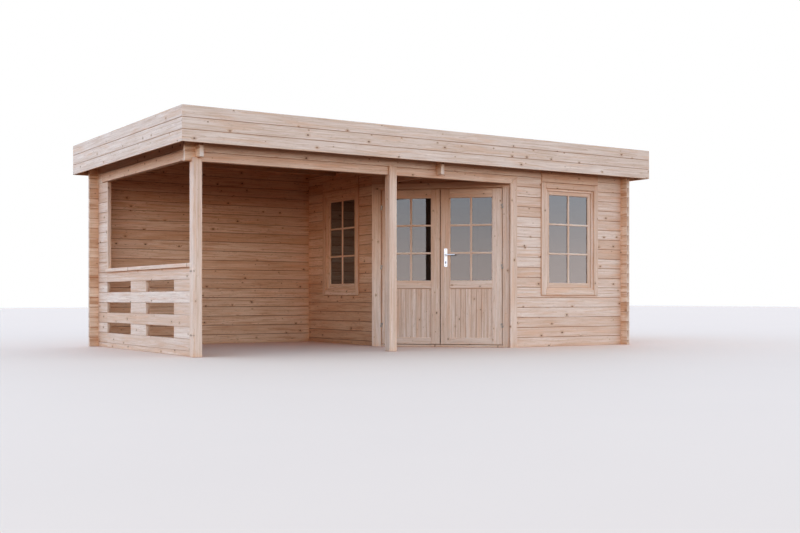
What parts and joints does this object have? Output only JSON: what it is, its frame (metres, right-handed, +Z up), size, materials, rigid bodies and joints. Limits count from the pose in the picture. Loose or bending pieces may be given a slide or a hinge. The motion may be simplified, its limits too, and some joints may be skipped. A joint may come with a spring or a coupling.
{
  "type": "wooden garden shed",
  "caption": "Log-built garden shed with a flat roof behind a deep board fascia, a covered terrace with balustrade, and glazed double doors in a diagonal wall.",
  "frame": {"origin": "ground level under the middle of the roof outline", "axes": "+X along the long front towards the window, +Y from the front to the back wall, +Z up"},
  "size_m": [6.256, 3.512, 2.449],
  "materials": {
    "wall_logs": "planed untreated spruce logs, satin, with small brown knots",
    "planed_joinery": "planed untreated spruce, satin",
    "fascia_boards": "planed untreated spruce boards, satin",
    "rough_timber": "sawn spruce, matt",
    "floor_and_roof_boards": "tongued spruce boards, matt",
    "window_glass": "clear float glass, polished",
    "zinc_steel": "zinc plated",
    "handle_alloy": "satin silver anodised",
    "roofing_felt": "matt dark grey mineral felt"
  },
  "bodies": {
    "shed": {"back_wall": "wall_logs", "right_wall": "wall_logs", "front_wall": "wall_logs", "partition_wall": "wall_logs", "partition_beam": "wall_logs", "left_wall_stub": "wall_logs", "left_side_beam": "wall_logs", "front_beam": "wall_logs", "door_wall_ends": "wall_logs", "door_wall_over": "wall_logs", "balustrade_logs": "wall_logs", "balustrade_blocks": "wall_logs", "balustrade_rail": "planed_joinery", "corner_post": "planed_joinery", "middle_post": "planed_joinery", "front_corner_trim": "planed_joinery", "door_casing": "planed_joinery", "door_jambs": "planed_joinery", "door_head": "planed_joinery", "door_threshold": "planed_joinery", "hinge_frame_halves": "zinc_steel", "front_window_casing": "planed_joinery", "front_window_frame": "planed_joinery", "front_window_sash": "planed_joinery", "front_window_glass": "window_glass", "side_window_casing": "planed_joinery", "side_window_frame": "planed_joinery", "side_window_sash": "planed_joinery", "side_window_glass": "window_glass", "floor_joists": "rough_timber", "floor_boards": "floor_and_roof_boards", "roof_purlins": "rough_timber", "roof_deck": "floor_and_roof_boards", "roof_felt": "roofing_felt", "fascia_front": "fascia_boards", "fascia_back": "fascia_boards", "fascia_left": "fascia_boards", "fascia_right": "fascia_boards", "fascia_battens": "rough_timber"},
    "door_left": {"door_leaf_left": "planed_joinery", "door_glass_left": "window_glass", "hinge_leaf_halves_left": "zinc_steel"},
    "door_right": {"door_leaf_right": "planed_joinery", "door_glass_right": "window_glass", "hinge_leaf_halves_right": "zinc_steel", "handle_plates": "handle_alloy"},
    "lever": {"handle_lever": "handle_alloy"}
  },
  "joints": [
    {"name": "door_left_hinge", "type": "hinge", "parent": "shed", "child": "door_left", "pos_m": [-0.03188, -0.41631, 0.96], "axis": [0, 0, -1], "range_deg": [0, 110]},
    {"name": "door_right_hinge", "type": "hinge", "parent": "shed", "child": "door_right", "pos_m": [1.00686, -1.45505, 0.96], "axis": [0, 0, 1], "range_deg": [0, 110]},
    {"name": "lever_turn", "type": "hinge", "parent": "door_right", "child": "lever", "pos_m": [0.54583, -0.95583, 1.105], "axis": [0.7071, 0.7071, 0], "range_deg": [0, 40], "stiffness_Nm_per_rad": 1.2, "springref_deg": -22.92}
  ]
}
